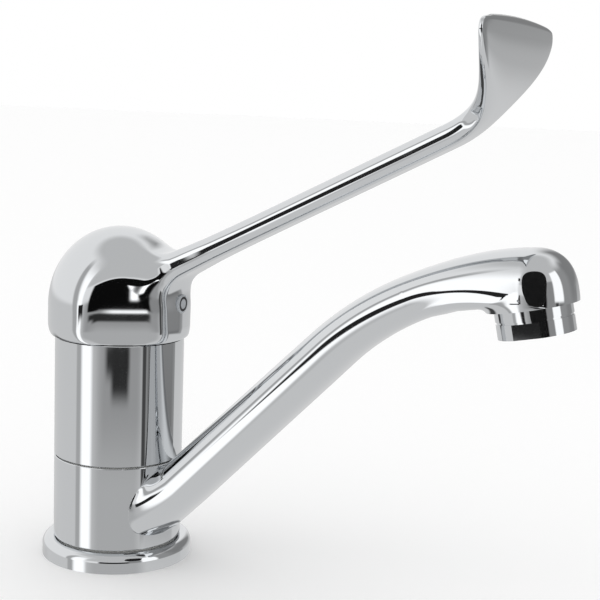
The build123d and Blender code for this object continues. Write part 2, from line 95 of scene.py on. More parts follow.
def add_bump(material, shader, height, strength, distance):
    """A bump from a height socket, in metres."""
    bump = add_node(material, "ShaderNodeBump", {"Height": height, "Strength": strength, "Distance": distance})
    material.node_tree.links.new(bump.outputs["Normal"], shader.inputs["Normal"])


def polished_chrome():
    """Bright chrome plate over polished cast brass: a mirror with a faint unevenness of the buffing."""
    material, shader = new_material("polished_chrome", Base_Color=linear("dfe1e3"), Metallic=1.0,
                                    Roughness=0.03)
    roughness = noise_between(material, 60.0, 0.02, 0.045)
    material.node_tree.links.new(roughness, shader.inputs["Roughness"])
    add_bump(material, shader, noise_between(material, 45.0, 0.0, 1.0, detail=1.0), 0.05, 0.00004)
    return material


def turned_metal(name, colour, roughness):
    """Turned brass or steel, with fine tool rings about Z."""
    material, shader = new_material(name, Base_Color=linear(colour), Metallic=1.0, Roughness=roughness)
    rings = noise_between(material, 900.0, 0.0, 1.0, stretch=(0.05, 0.05, 1.0))
    add_bump(material, shader, rings, 0.2, 0.00003)
    spread = noise_between(material, 300.0, roughness * 0.8, roughness * 1.25)
    material.node_tree.links.new(spread, shader.inputs["Roughness"])
    return material


def moulded(name, colour, roughness, grain, depth):
    """Moulded plastic, rubber or ceramic, with a fine grain of its own."""
    material, shader = new_material(name, Base_Color=linear(colour), Roughness=roughness)
    add_bump(material, shader, noise_between(material, grain, 0.0, 1.0), 0.3, depth)
    spread = noise_between(material, grain / 8, roughness * 0.85, roughness * 1.15)
    material.node_tree.links.new(spread, shader.inputs["Roughness"])
    return material


def index_mark(level, inner=1.7, outer=2.6, span=4.0, blur=0.02):
    """Smoked plastic with a dark ring near its edge, round a line along X at a height in metres.

    The ring lies between two radii in mm. A ramp over the span in mm draws it, with blurred edges.
    """
    material = moulded("index_plastic", "a9adb1", 0.12, 2500.0, 0.000002)
    shader = material.node_tree.nodes["Principled BSDF"]
    coords = add_node(material, "ShaderNodeTexCoord")
    scale = 1 / (span * MM)
    flat = add_node(material, "ShaderNodeMapping",
                    {"Vector": coords.outputs["Object"], "Location": (0, 0, -scale * level),
                     "Scale": (0, scale, scale)})
    off_axis = add_node(material, "ShaderNodeVectorMath", {"Vector": flat.outputs["Vector"]},
                        operation="LENGTH")
    rings = add_node(material, "ShaderNodeValToRGB", {"Fac": off_axis.outputs["Value"]})
    light, dark = linear("a9adb1"), linear("17181a")
    stops = rings.color_ramp.elements
    stops[0].position, stops[0].color = inner / span - blur, light
    stops[1].position, stops[1].color = outer / span + blur, light
    for place in (inner / span + blur, outer / span - blur):
        stops.new(place).color = dark
    material.node_tree.links.new(rings.outputs["Color"], shader.inputs["Base Color"])
    return material


plug_corners = [corner[2] for corner in frame["nodes"]["index_plug"].bound_box]
materials = {
    # chrome plate on every outer casting
    "polished_chrome": polished_chrome(),
    # black EPDM of the seals
    "black_rubber": moulded("black_rubber", "1c1c1d", 0.62, 2200.0, 0.00002),
    # acetal of the glide rings, the turning piece and the jet mixer
    "white_acetal": moulded("white_acetal", "e9e8e3", 0.38, 1500.0, 0.00001),
    # glass-filled plastic of the cartridge shell
    "grey_acetal": moulded("grey_acetal", "6d7074", 0.45, 1500.0, 0.00001),
    # lapped alumina discs
    "white_ceramic": moulded("white_ceramic", "efece4", 0.15, 3000.0, 0.000003),
    # bare turned brass of the nut and stem
    "turned_brass": turned_metal("turned_brass", "c9a35c", 0.28),
    # stainless steel of the pin, the screw and the screen
    "stainless_steel": turned_metal("stainless_steel", "bfc0c1", 0.3),
    # smoked glossy plastic of the temperature mark
    "index_plastic": index_mark((min(plug_corners) + max(plug_corners)) / 2),
}
node_slots = {part["node"]: part["material_slot"] for part in frame["record"]["subparts"]}
for node, obj in frame["nodes"].items():
    obj.data.materials.clear()
    obj.data.materials.append(materials[node_slots[node]])


# Surfaces from formulas, in mm

X_AXIS, Y_AXIS, Z_AXIS = np.eye(3)
# how far a ray looks for the surface, how often that is halved, and the least value under a root
RAY_REACH = 45.0
HALVINGS = 34
LEAST = 1e-9


def add_surface(name, grids, material, body, node):
    """One piece from grids of points, each (rows, columns, 3) with its unit normals, in place of a CAD node.

    Column i joins column i + 1, and the last joins the first, so each grid is a closed tube.
    """
    points, normals, faces, start = [], [], [], 0
    for grid, grid_normals in grids:
        rows, columns = grid.shape[:2]
        index = start + np.arange(rows * columns).reshape(rows, columns)
        turned = np.roll(index, -1, axis=1)
        quads = np.stack([index[:-1], turned[:-1], turned[1:], index[1:]], axis=-1).reshape(-1, 4)
        points.append(grid.reshape(-1, 3))
        normals.append(grid_normals.reshape(-1, 3))
        faces.append(quads)
        start += rows * columns
    mesh = bpy.data.meshes.new(name)
    mesh.from_pydata((np.concatenate(points) * MM).tolist(), [], np.concatenate(faces).tolist())
    mesh.polygons.foreach_set("use_smooth", np.ones(len(mesh.polygons), bool))
    mesh.normals_split_custom_set_from_vertices(np.concatenate(normals).tolist())
    mesh.materials.append(material)
    obj = bpy.data.objects.new(name, mesh)
    bpy.context.scene.collection.objects.link(obj)
    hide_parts(node)
    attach(obj, body)


def unit(vectors):
    """Vectors of length one."""
    return vectors / np.maximum(np.linalg.norm(vectors, axis=-1, keepdims=True), 1e-12)


def grid_normals(grid):
    """Unit normals of a closed tube grid, by central differences along rows and columns."""
    along = np.gradient(grid, axis=0)
    around = np.roll(grid, -1, axis=1) - np.roll(grid, 1, axis=1)
    return unit(np.cross(around, along))


def turns(columns):
    """Even turns of a full circle, in radians."""
    return np.linspace(0, 2 * np.pi, columns, endpoint=False)


def revolve(profile, columns=256):
    """A revolved grid about Z from (r, z) points, run through so that its outside is on the right-hand side."""
    profile = np.asarray(profile, float)
    turn = turns(columns)
    grid = np.empty((len(profile), columns, 3))
    grid[..., 0] = profile[:, :1] * np.cos(turn)
    grid[..., 1] = profile[:, :1] * np.sin(turn)
    grid[..., 2] = profile[:, 1:]
    return grid


def smooth_min(a, b, reach):
    """The smaller of two distances, filled where they are about equal: a fillet of about the given reach."""
    mix = np.clip(0.5 + 0.5 * (b - a) / reach, 0, 1)
    return b * (1 - mix) + a * mix - reach * mix * (1 - mix)


def smooth_max(a, b, reach):
    """The larger of two distances, rounded where they are about equal."""
    return -smooth_min(-a, -b, reach)


def smooth_curve(knots, at):
    """Monotone cubic through (place, value) knots, evaluated at the given places."""
    x, y = np.asarray(knots, float).T
    h = np.diff(x)
    slope = np.diff(y) / h
    tangent = np.zeros_like(y)
    inner = slope[:-1] * slope[1:] > 0
    weight_a = 2 * h[1:] + h[:-1]
    weight_b = h[1:] + 2 * h[:-1]
    harmonic = np.zeros(len(h) - 1)
    harmonic[inner] = (weight_a + weight_b)[inner] / (weight_a[inner] / slope[:-1][inner]
                                                      + weight_b[inner] / slope[1:][inner])
    tangent[1:-1] = harmonic
    tangent[0], tangent[-1] = slope[0], slope[-1]
    at = np.clip(at, x[0], x[-1])
    k = np.clip(np.searchsorted(x, at, side="right") - 1, 0, len(h) - 1)
    t = (at - x[k]) / h[k]
    return ((1 + 2 * t) * (1 - t) ** 2 * y[k] + t * (1 - t) ** 2 * h[k] * tangent[k]
            + t * t * (3 - 2 * t) * y[k + 1] + t * t * (t - 1) * h[k] * tangent[k + 1])


def knot_values(knots, place, columns=(1, 2, 3)):
    """Columns of a table of knots as smooth curves, at places along its first column."""
    return [smooth_curve([(knot[0], knot[column]) for knot in knots], place) for column in columns]


def squared_off(value, power):
    """A sine or cosine raised to a power with its sign kept, which turns a circle into a superellipse."""
    return np.sign(value) * np.abs(value) ** power


def oval_distance(across, up, width, thick, power):
    """Distance, near enough, to the superellipse (|across| / width)^power + (|up| / thick)^power = 1."""
    ratio = (np.abs(across) / width) ** power + (np.abs(up) / thick) ** power
    return (np.maximum(ratio, LEAST) ** (1 / power) - 1) * thick


def blend_in(t):
    """0 to 1 with level ends: 3t^2 - 2t^3."""
    t = np.clip(t, 0, 1)
    return t * t * (3 - 2 * t)


def bent_path(travel, start, slope, bend_start, radius, turn):
    """Places (x, z) and slopes (radians) along a straight run, an arc and a straight run."""
    slope, turn = math.radians(slope), math.radians(turn)
    straight = math.dist(start, bend_start)
    bend = radius * abs(turn)
    angle = slope + np.clip((travel - straight) / bend, 0, 1) * turn
    sign = 1 if turn > 0 else -1
    before = np.minimum(travel, straight)
    after = np.maximum(travel - straight - bend, 0)
    x = (start[0] + before * math.cos(slope) + sign * radius * (np.sin(angle) - math.sin(slope))
         + after * np.cos(angle))
    z = (start[1] + before * math.sin(slope) + sign * radius * (math.cos(slope) - np.cos(angle))
         + after * np.sin(angle))
    return x, z, angle


def ray_lengths(is_inside, shape):
    """Where rays leave a solid, by halving between 0 and the reach; is_inside takes an array of lengths."""
    inner = np.zeros(shape)
    outer = np.full(shape, RAY_REACH)
    for _ in range(HALVINGS):
        middle = (inner + outer) / 2
        inside = is_inside(middle)
        inner = np.where(inside, middle, inner)
        outer = np.where(inside, outer, middle)
    return inner


def solve_rays(centres, directions, distance):
    """Points where rays from the centres leave the solid of a distance."""
    lengths = ray_lengths(lambda length: distance(centres + directions * length[..., None]) < 0,
                          directions.shape[:-1])
    return centres + directions * lengths[..., None]


def gradient(distance, p, step=0.02):
    """Unit gradient of a distance, by central differences."""
    parts = [distance(p + step * axis) - distance(p - step * axis) for axis in np.eye(3)]
    return unit(np.stack(parts, axis=-1))


# Lever handle: dome with two flats, long arm and elbow paddle. Sizes in mm, heights over the deck.

RIM = 80.5
SHOULDER = 91.5
DOME_RADIUS = 25.5
CROWN = 27.9
# how far the rim draws in, and over what height
RIM_ROUND = (1.7, 4.8)
# the flats are parts of large spheres: distance from the axis, radius, height of the middle, angle to each side
# of +X, and soft edge
FLAT_DISTANCE = 22.7
FLAT_RADIUS = 140.0
FLAT_MIDDLE = 93.0
FLAT_ANGLE = math.radians(55)
FLAT_EDGE = 1.6
# the arm's straight line goes through a place (x, z) at its slope, up to the bend of the paddle
SLOPE_DEGREES = 27.0
ARM_SLOPE = math.radians(SLOPE_DEGREES)
ARM_PASS = (6.0, 98.04)
BEND_X = 121.2
LEVER_BEND = (BEND_X, ARM_PASS[1] + (BEND_X - ARM_PASS[0]) * math.tan(ARM_SLOPE))
LEVER_RADIUS = 35.2
# fillet of arm and dome, and the line (x, z) that the planes of the join turn about
FILLET = 6.5
HINGE = (36.0, 98.0)
# from here on, over this run, the arm's flat oval turns into the paddle's pillow
PILLOW_START = 122.0
PILLOW_RUN = 26.0
PILLOW_POWER = 3.5
PADDLE_STRAIGHT = 4.7
PADDLE_CORNER = 3.2
PADDLE_ROUND = 2.2
PADDLE_CROWN = 1.6
# half thickness that is left at the very tip, as a share
TIP_SHARE = 0.02
# rows of the grid: up the dome, over the join, along the arm, round its bend and over the tip
DOME_ROWS = 44
JOIN_ROWS = 90
ARM_ROWS = 76
BEND_ROWS = 96
TIP_ROWS = 44
# the rows along the arm end this far before its bend, and the dome's fillet is over at this place
BEFORE_BEND = 2.0
JOIN_END = 60.0
# run over which the rays spread to the section's own proportions
SPREAD_RUN = 30.0
# the hollow: radius, height over the shoulder, distance of its flats, and rows up its wall and over its crown
HOLLOW_RADIUS = 23.25
HOLLOW_CROWN = 25.3
HOLLOW_FLAT = 20.2
WALL_ROWS = 8
CROWN_ROWS = 30
# a direction that leans less than this towards a flat doesn't meet it
LEAST_LEAN = 0.1
# (r, z) of the stem's socket
SOCKET = [(8.0, 112.0), (8.0, 86.4), (7.6, 86.0), (5.75, 86.0)]

# place along the arm's path from where it passes (6, 98), half width, half thickness, and the radius of the
# corners as a share of the half thickness
ARM_KNOTS = [
    (0, 10.6, 5.6, 0.75), (14, 10.2, 5.2, 0.78), (26, 9.2, 4.5, 0.82), (38, 8.0, 4.05, 0.86),
    (56, 7.2, 3.9, 0.88), (90, 6.9, 3.85, 0.88), (116, 6.8, 3.8, 0.88), (129, 7.0, 3.75, 0.88),
    (135.5, 7.4, 3.65, 0.88), (140, 8.9, 3.45, 0.78), (144.2, 12.4, 3.15, 0.82), (147.9, 16.9, 2.85, 0.86),
    (151.3, 21.6, 2.6, 0.9), (154.6, 26.4, 2.35, 0.93), (157.8, 30.7, 2.1, 0.95), (160.9, 34.2, 1.9, 0.97),
    (164, 36.7, 1.75, 0.97), (167, 38.2, 1.65, 0.97), (173, 38.5, 1.6, 0.97),
]


def arm_section(y, n, place):
    """Distance to the arm's section: y across, n square to the path, at a place along it.

    A rectangle with round corners, which turns into a superellipse towards the paddle.
    """
    width, thick, corner_share = knot_values(ARM_KNOTS, place)
    corner = thick * corner_share
    over_y = np.abs(y) - width + corner
    over_n = np.abs(n) - thick + corner
    outside = np.hypot(np.maximum(over_y, 0), np.maximum(over_n, 0))
    flat_oval = outside + np.minimum(np.maximum(over_y, over_n), 0) - corner
    pillow = oval_distance(y, n, width, thick, PILLOW_POWER)
    share = blend_in((place - PILLOW_START) / PILLOW_RUN)
    return flat_oval * (1 - share) + pillow * share


def dome_distance(p):
    """Signed distance, near enough, to the dome: a skirt closed by a quarter ellipse, less two flats."""
    r = np.hypot(p[..., 0], p[..., 1])
    z = p[..., 2]
    rise = np.maximum(z - SHOULDER, 0) / CROWN
    cap = (np.hypot(r / DOME_RADIUS, rise) - 1) * DOME_RADIUS
    low_part = np.clip((RIM + RIM_ROUND[1] - z) / RIM_ROUND[1], 0, 1)
    cap = cap + RIM_ROUND[0] * (1 - np.sqrt(1 - low_part ** 2))
    for side in (-1, 1):
        outward = np.array([math.cos(FLAT_ANGLE), side * math.sin(FLAT_ANGLE), 0])
        centre = (FLAT_DISTANCE - FLAT_RADIUS) * outward
        centre[2] = FLAT_MIDDLE
        cap = smooth_max(cap, np.linalg.norm(p - centre, axis=-1) - FLAT_RADIUS, FLAT_EDGE)
    return cap


def handle_distance(p):
    """The dome and the straight part of the arm, joined with a fillet."""
    along_x, along_z = math.cos(ARM_SLOPE), math.sin(ARM_SLOPE)
    place = (p[..., 0] - ARM_PASS[0]) * along_x + (p[..., 2] - ARM_PASS[1]) * along_z
    square = -(p[..., 0] - ARM_PASS[0]) * along_z + (p[..., 2] - ARM_PASS[1]) * along_x
    arm = np.maximum(arm_section(p[..., 1], square, np.maximum(place, 0)), -place)
    return smooth_min(dome_distance(p), arm, FILLET)


def paddle_tip(last, middle_x, slope):
    """Rows over the tip, from the paddle's last section.

    The sides draw in by the corners' quarter circles, the edge closes in a round, and the tip's crown sinks
    with the square of the distance from the middle.
    """
    half = np.abs(last[:, 1]).max()
    side = np.sign(last[:, 1])
    reach_y = np.abs(last[:, 1])
    forward = np.array([math.cos(slope), 0, math.sin(slope)])
    corner = PADDLE_CORNER + PADDLE_ROUND
    narrow = blend_in((reach_y - half + 2 * corner) / (2 * corner))
    rows = []
    for t in np.linspace(0, np.pi / 2, TIP_ROWS)[1:]:
        rise = corner * math.sin(t)
        edge = max(rise - PADDLE_CORNER, 0) / PADDLE_ROUND
        drawn = last.copy()
        drawn[:, 0] = middle_x + (last[:, 0] - middle_x) * max(math.sqrt(max(1 - edge ** 2, 0)), TIP_SHARE)
        drawn[:, 1] = side * (reach_y - corner * narrow * (1 - math.cos(t)))
        crown = PADDLE_CROWN * (reach_y / half) ** 2 * math.sin(t) ** 2
        rows.append(drawn + forward * (rise - crown)[:, None])
    return np.stack(rows)


def lever_outside(columns=256):
    """The handle's outside in three runs of section planes, one grid of rays each, and the tip.

    First level planes up the dome, then planes that turn about a line in front of the dome until they stand
    square to the arm, and then planes along the arm and round its bend to the paddle's tip.
    """
    turn = turns(columns)
    cos, sin = np.cos(turn), np.sin(turn)
    across = cos[None, :, None] * Y_AXIS

    levels = RIM + (HINGE[1] - RIM) * np.linspace(0, 1, DOME_ROWS)
    level_centres = np.stack([0 * levels, 0 * levels, levels], axis=-1)[:, None, :]
    level_rays = np.broadcast_to(across - sin[None, :, None] * X_AXIS, (DOME_ROWS, columns, 3))

    fan = np.linspace(0, 1, JOIN_ROWS)[1:]
    swing = math.pi - fan * (math.pi / 2 - ARM_SLOPE)
    out_x, out_z = np.cos(swing), np.sin(swing)
    hinge_x, hinge_z = HINGE[0] - ARM_PASS[0], HINGE[1] - ARM_PASS[1]
    last_reach = hinge_x * math.sin(ARM_SLOPE) - hinge_z * math.cos(ARM_SLOPE)
    reach = HINGE[0] + (last_reach - HINGE[0]) * blend_in(fan)
    fan_centres = np.stack([HINGE[0] + reach * out_x, 0 * fan, HINGE[1] + reach * out_z], axis=-1)[:, None, :]
    fan_up = np.stack([out_x, 0 * fan, out_z], axis=-1)[:, None, :]
    fan_rays = across + sin[None, :, None] * fan_up
    dome_points = solve_rays(np.concatenate([level_centres, fan_centres]),
                             np.concatenate([level_rays, fan_rays]), handle_distance)

    last_place = hinge_x * math.cos(ARM_SLOPE) + hinge_z * math.sin(ARM_SLOPE)
    straight = math.dist(ARM_PASS, LEVER_BEND)
    total = straight + LEVER_RADIUS * (math.pi / 2 - ARM_SLOPE) + PADDLE_STRAIGHT
    arm_rows = np.linspace(last_place, straight - BEFORE_BEND, ARM_ROWS)[1:]
    bend_rows = np.linspace(straight - BEFORE_BEND, total - PADDLE_CORNER - PADDLE_ROUND, BEND_ROWS)[1:]
    places = np.concatenate([arm_rows, bend_rows])
    x, z, angle = bent_path(places, ARM_PASS, SLOPE_DEGREES, LEVER_BEND, LEVER_RADIUS, 90 - SLOPE_DEGREES)
    centres = np.stack([x, 0 * x, z], axis=-1)[:, None, :]
    up = np.stack([-np.sin(angle), 0 * x, np.cos(angle)], axis=-1)[:, None, :]
    places = places[:, None]

    # Rays of the flat sections are spread by the section's own width and thickness.
    width, thick = knot_values(ARM_KNOTS, places, (1, 2))
    spread = blend_in((places - last_place) / SPREAD_RUN)
    ray_y = cos * (1 + (width - 1) * spread)
    ray_n = sin * (1 + (thick - 1) * spread)
    length = np.hypot(ray_y, ray_n)
    ray_y, ray_n = ray_y / length, ray_n / length
    near = places[:, 0] < JOIN_END
    near_rays = ray_y[near][..., None] * Y_AXIS + ray_n[near][..., None] * up[near]
    near_points = solve_rays(centres[near], near_rays, handle_distance)
    far_y, far_n, far_places = ray_y[~near], ray_n[~near], places[~near]
    far = ray_lengths(lambda reach: arm_section(reach * far_y, reach * far_n, far_places) < 0, far_y.shape)
    far_points = centres[~near] + (far * far_y)[..., None] * Y_AXIS + (far * far_n)[..., None] * up[~near]

    tip_points = paddle_tip(far_points[-1], centres[-1, 0, 0], angle[-1])
    points = np.concatenate([dome_points, near_points, far_points, tip_points])
    shade = grid_normals(points)
    solved = len(dome_points) + len(near_points) - 2
    shade[:solved] = gradient(handle_distance, points[:solved])
    return points, shade


def lever_inside(columns=192):
    """The hollow of the dome, from the rim's edge up: a wall closed by a quarter ellipse, less two flats."""
    turn = turns(columns)
    rise = np.sin(np.linspace(0, np.pi / 2, CROWN_ROWS))
    levels = np.concatenate([np.linspace(RIM, SHOULDER, WALL_ROWS)[:-1], SHOULDER + HOLLOW_CROWN * rise])
    radius = np.concatenate([np.full(WALL_ROWS - 1, HOLLOW_RADIUS),
                             HOLLOW_RADIUS * np.sqrt(np.maximum(1 - rise ** 2, 1e-6))])
    reach = np.broadcast_to(radius[:, None], (len(levels), columns)).copy()
    for side in (-1, 1):
        lean = np.cos(turn - side * FLAT_ANGLE)
        limit = np.where(lean > LEAST_LEAN, HOLLOW_FLAT / np.maximum(lean, LEAST_LEAN), np.inf)
        reach = np.minimum(reach, limit[None, :])
    heights = np.broadcast_to(levels[:, None], reach.shape)
    return np.stack([reach * np.cos(turn), reach * np.sin(turn), heights], axis=-1)


def rim_ring(outside_row, inside_row):
    """The level ring under the rim, from the outside's edge to the hollow's, at the hollow's turns."""
    turn = turns(len(inside_row))
    order = np.arctan2(outside_row[:, 1], outside_row[:, 0]) % (2 * np.pi)
    sorting = np.argsort(order)
    radius = np.hypot(outside_row[:, 0], outside_row[:, 1])[sorting]
    reach = np.interp(turn, order[sorting], radius, period=2 * np.pi)
    outer_row = np.stack([reach * np.cos(turn), reach * np.sin(turn), inside_row[:, 2]], axis=-1)
    return np.stack([outer_row, inside_row])


outside, outside_normals = lever_outside()
inside = lever_inside()
inside_normals = -grid_normals(inside)
rim_face = rim_ring(outside[0], inside[0])
rim_normals = np.broadcast_to(np.array([0.0, 0, -1]), rim_face.shape)
socket = revolve(SOCKET, 96)
add_surface(
    "lever_casting",
    [(outside, outside_normals), (rim_face[::-1], rim_normals), (inside[:, ::-1], inside_normals[:, ::-1]),
     (socket, grid_normals(socket))],
    materials["polished_chrome"], "lever", "lever_handle")


# Spout: swivel ring, arched arm and round nose

# the ring's two heights, its radius, the round of its edges, its bore, and the radius where its faces start
RING = (7.0, 36.8)
RING_RADIUS = 23.0
RING_EDGE = 0.35
RING_BORE = 18.1
RING_MOUTH = 18.2
# the centre line: a straight run at 45 degrees that passes this far over the origin, then an arc
AXIS_RISE = 1.05
SPOUT_START = (5.0, 5.0 + AXIS_RISE)
SPOUT_BEND = (84.0, 84.0 + AXIS_RISE)
SPOUT_SLOPE = 45.0
SPOUT_TURN = -33.0
SPOUT_RADIUS = 102.0
NOSE = np.array([149.5, 0.0, 109.1])
NOSE_RADIUS = 14.6
NOSE_POWER = 2.4
NOZZLE_LEAN = math.radians(12.3)
NOZZLE = np.array([math.sin(NOZZLE_LEAN), 0, -math.cos(NOZZLE_LEAN)])
# how far the nozzle's rim lies below the nose's centre, and the x from which the casting is cut to it
RIM_DROP = 3.4
CUT_FROM = 126.0

# place along the centre line, half width, half thickness and exponent of the section's superellipse
SPOUT_KNOTS = [
    (30, 14.9, 8.9, 2.6), (45, 14.6, 8.75, 2.6), (70, 14.2, 8.5, 2.6), (100, 13.9, 8.2, 2.6),
    (125, 13.75, 7.85, 2.6), (150, 13.65, 7.7, 2.5), (165, 13.65, 7.7, 2.35), (185, 13.65, 7.7, 2.2),
    (200, 13.65, 7.7, 2.2),
]
ARC_CENTRE = (SPOUT_BEND[0] + SPOUT_RADIUS * math.sin(math.pi / 4),
              SPOUT_BEND[1] - SPOUT_RADIUS * math.cos(math.pi / 4))
# direction of the arc's start, seen from its centre
ARC_START = math.radians(90 + SPOUT_SLOPE)
FIRST_RUN = math.dist(SPOUT_START, SPOUT_BEND)
# the nose's centre: its direction from the arc's centre, its height over the arc and its place along it
NOSE_TURN = math.atan2(NOSE[2] - ARC_CENTRE[1], NOSE[0] - ARC_CENTRE[0])
NOSE_OUT = np.array([math.cos(NOSE_TURN), 0, math.sin(NOSE_TURN)])
NOSE_SQUARE = math.hypot(NOSE[0] - ARC_CENTRE[0], NOSE[2] - ARC_CENTRE[1]) - SPOUT_RADIUS
NOSE_PLACE = FIRST_RUN + (ARC_START - NOSE_TURN) * SPOUT_RADIUS
# the arm's oval turns into the nose's section from this place on, and past the nose it counts as this far off
NOSE_START = 149.0
PAST_NOSE = 9.0
# the arm's floor near the nose: its depth under the centre line, how far it rises, from which place and over
# what run, and the round where it cuts the arm
FLOOR_DEPTH = 12.6
FLOOR_RISE = 4.2
FLOOR_START = 146.0
FLOOR_RUN = 15.0
FLOOR_ROUND = 4.0
# the fillet below the nose: its reach, where it starts to fade below the nose's centre, and over what height
NOSE_FILLET = 3.0
FADE_DEPTH = 1.5
FADE_HEIGHT = 4.5
LEAST_FILLET = 0.02
# the arm as plain sections: its first place and the arc that they cover; then rows of sections, bend and cap
TUBE_START = 36.0
TUBE_ARC = math.radians(20)
TUBE_ROWS = 100
TURN_ROWS = 90
CAP_ROWS = 60
# the arm's foot on the ring: half width, half thickness, how far its sides move up, and power of its outline
ROOT_WIDTH = 17.0
ROOT_THICKNESS = 8.85
ROOT_LIFT = 2.6
ROOT_POWER = 0.8
# share of the thickness from which the side's fillet fades, and the height on the ring that it points to
ROOT_FADE = 0.35
ROOT_MIDDLE = 24.0
# pulls of the curves at the ring (as a share of the gap, and at most in mm) and at the arm
RING_PULL = 0.8
MOST_PULL = 4.5
ARM_PULL = 1.3
# how far the foot's first row is sunk in the ring, as a share of its radius
SUNK_SHARE = 0.97


def nose_distance(p):
    """A ball a little squarer than a sphere: a superellipse of h along the nozzle and q off its axis."""
    high = (p - NOSE) @ NOZZLE
    off = np.linalg.norm(p - NOSE - high[..., None] * NOZZLE, axis=-1)
    return oval_distance(off, high, NOSE_RADIUS, NOSE_RADIUS, NOSE_POWER)


def spout_distance(p):
    """Distance to the bent end of the arm and the nose, joined with a fillet that fades above.

    The arm's oval turns into the nose's own section, and the nose's rim stands out below the arm's floor.
    """
    out_x, out_z = p[..., 0] - ARC_CENTRE[0], p[..., 2] - ARC_CENTRE[1]
    square = np.hypot(out_x, out_z) - SPOUT_RADIUS
    place = FIRST_RUN + (ARC_START - np.arctan2(out_z, out_x)) * SPOUT_RADIUS
    width, thick, power = knot_values(SPOUT_KNOTS, place)
    oval = oval_distance(p[..., 1], square, width, thick, power)
    sideways = p[..., 1][..., None] * Y_AXIS
    section = nose_distance(NOSE + sideways + (square - NOSE_SQUARE)[..., None] * NOSE_OUT)
    share = blend_in((place - NOSE_START) / (NOSE_PLACE - NOSE_START))
    arm = oval * (1 - share) + section * share
    depth = square + FLOOR_DEPTH - FLOOR_RISE * blend_in((place - FLOOR_START) / FLOOR_RUN)
    arm = smooth_max(arm, -depth, FLOOR_ROUND)
    arm = np.where(place > NOSE_PLACE, PAST_NOSE, arm)
    lift = -(p - NOSE) @ NOZZLE
    fillet = NOSE_FILLET * (1 - blend_in((lift + FADE_DEPTH) / FADE_HEIGHT)) + LEAST_FILLET
    return smooth_min(arm, nose_distance(p), fillet)


def spout_tube(columns=224):
    """The arm as closed sections on its centre line, then rays in planes that turn round the nose's centre."""
    turn = turns(columns)
    cos, sin = np.cos(turn), np.sin(turn)
    places = np.linspace(TUBE_START, FIRST_RUN + SPOUT_RADIUS * TUBE_ARC, TUBE_ROWS)
    x, z, angle = bent_path(places, SPOUT_START, SPOUT_SLOPE, SPOUT_BEND, SPOUT_RADIUS, SPOUT_TURN)
    width, thick, power = knot_values(SPOUT_KNOTS, places)
    share_y = squared_off(cos, 2 / power[:, None])
    share_n = squared_off(sin, 2 / power[:, None])
    up = np.stack([-np.sin(angle), 0 * x, np.cos(angle)], axis=-1)
    centre = np.stack([x, 0 * x, z], axis=-1)
    tube = (centre[:, None, :] + (width[:, None] * share_y)[..., None] * Y_AXIS
            + (thick[:, None] * share_n)[..., None] * up[:, None, :])

    share = np.linspace(0, 1, TURN_ROWS)[1:]
    lean = angle[-1] * (1 - share)
    centres = centre[-1] + (NOSE - centre[-1]) * share[:, None]
    ups = np.stack([-np.sin(lean), 0 * share, np.cos(lean)], axis=-1)
    spread = 1 - blend_in(share)
    ray_y = cos * (1 + (width[-1] - 1) * spread[:, None])
    ray_n = sin * (1 + (thick[-1] - 1) * spread[:, None])
    length = np.hypot(ray_y, ray_n)
    rays = (ray_y / length)[..., None] * Y_AXIS + (ray_n / length)[..., None] * ups[:, None, :]
    bend = solve_rays(centres[:, None, :], rays, spout_distance)

    cap_turn = np.linspace(0, np.pi / 2, CAP_ROWS)[1:]
    flat = np.cos(cap_turn)[:, None, None]
    cap_rays = (flat * (cos[None, :, None] * Y_AXIS + sin[None, :, None] * Z_AXIS)
                + np.sin(cap_turn)[:, None, None] * X_AXIS)
    cap = solve_rays(NOSE, cap_rays, spout_distance)
    return tube, np.concatenate([bend, cap])


def spout_root(tube, rows=44):
    """Hermite curves from the ring to the arm's first section.

    They leave the ring along its surface and meet the arm along its own lines, so the casting has a fillet at
    its sides that dies out above and below. Each starts on the cylinder x^2 + y^2 = R^2, at a height of
    z = x + rise + n * sqrt(2), where n is square to the arm.
    """
    turn = turns(tube.shape[1])
    share_y = squared_off(np.cos(turn), ROOT_POWER)
    share_n = squared_off(np.sin(turn), ROOT_POWER)
    y = ROOT_WIDTH * share_y
    square = ROOT_THICKNESS * share_n + ROOT_LIFT * (1 - share_n ** 2)
    x = np.sqrt(RING_RADIUS ** 2 - y ** 2)
    start = np.stack([x, y, x + AXIS_RISE + square * math.sqrt(2)], axis=-1)
    fade = 1 - blend_in((np.abs(share_n) - ROOT_FADE) / (1 - ROOT_FADE))
    around = np.arctan2(y, x)
    inward = unit(np.stack([-around * RING_RADIUS, ROOT_MIDDLE - start[:, 2]], axis=-1))
    on_ring = np.stack([-np.sin(around) * inward[:, 0], np.cos(around) * inward[:, 0], inward[:, 1]], axis=-1)
    end = tube[0]
    along = unit(tube[1] - tube[0])
    gap = np.linalg.norm(end - start, axis=-1, keepdims=True)
    t = np.linspace(0, 1, rows)[:, None, None]
    start_pull = (np.minimum(RING_PULL * gap, MOST_PULL) * on_ring * fade[:, None]
                  + gap * along * (1 - fade[:, None]))
    end_pull = along * gap * ARM_PULL
    curves = ((2 * t ** 3 - 3 * t ** 2 + 1) * start + (t ** 3 - 2 * t ** 2 + t) * start_pull
              + (3 * t ** 2 - 2 * t ** 3) * end + (t ** 3 - t ** 2) * end_pull)
    sunk = start * np.array([SUNK_SHARE, SUNK_SHARE, 1.0])
    return np.concatenate([sunk[None], curves[:-1]])


def cut_to_nozzle(grid):
    """Points of the nose below the nozzle's rim plane move up on to it."""
    below = np.where(grid[..., 0] > CUT_FROM, (grid - NOSE) @ NOZZLE - RIM_DROP, 0)
    return grid - np.maximum(below, 0)[..., None] * NOZZLE


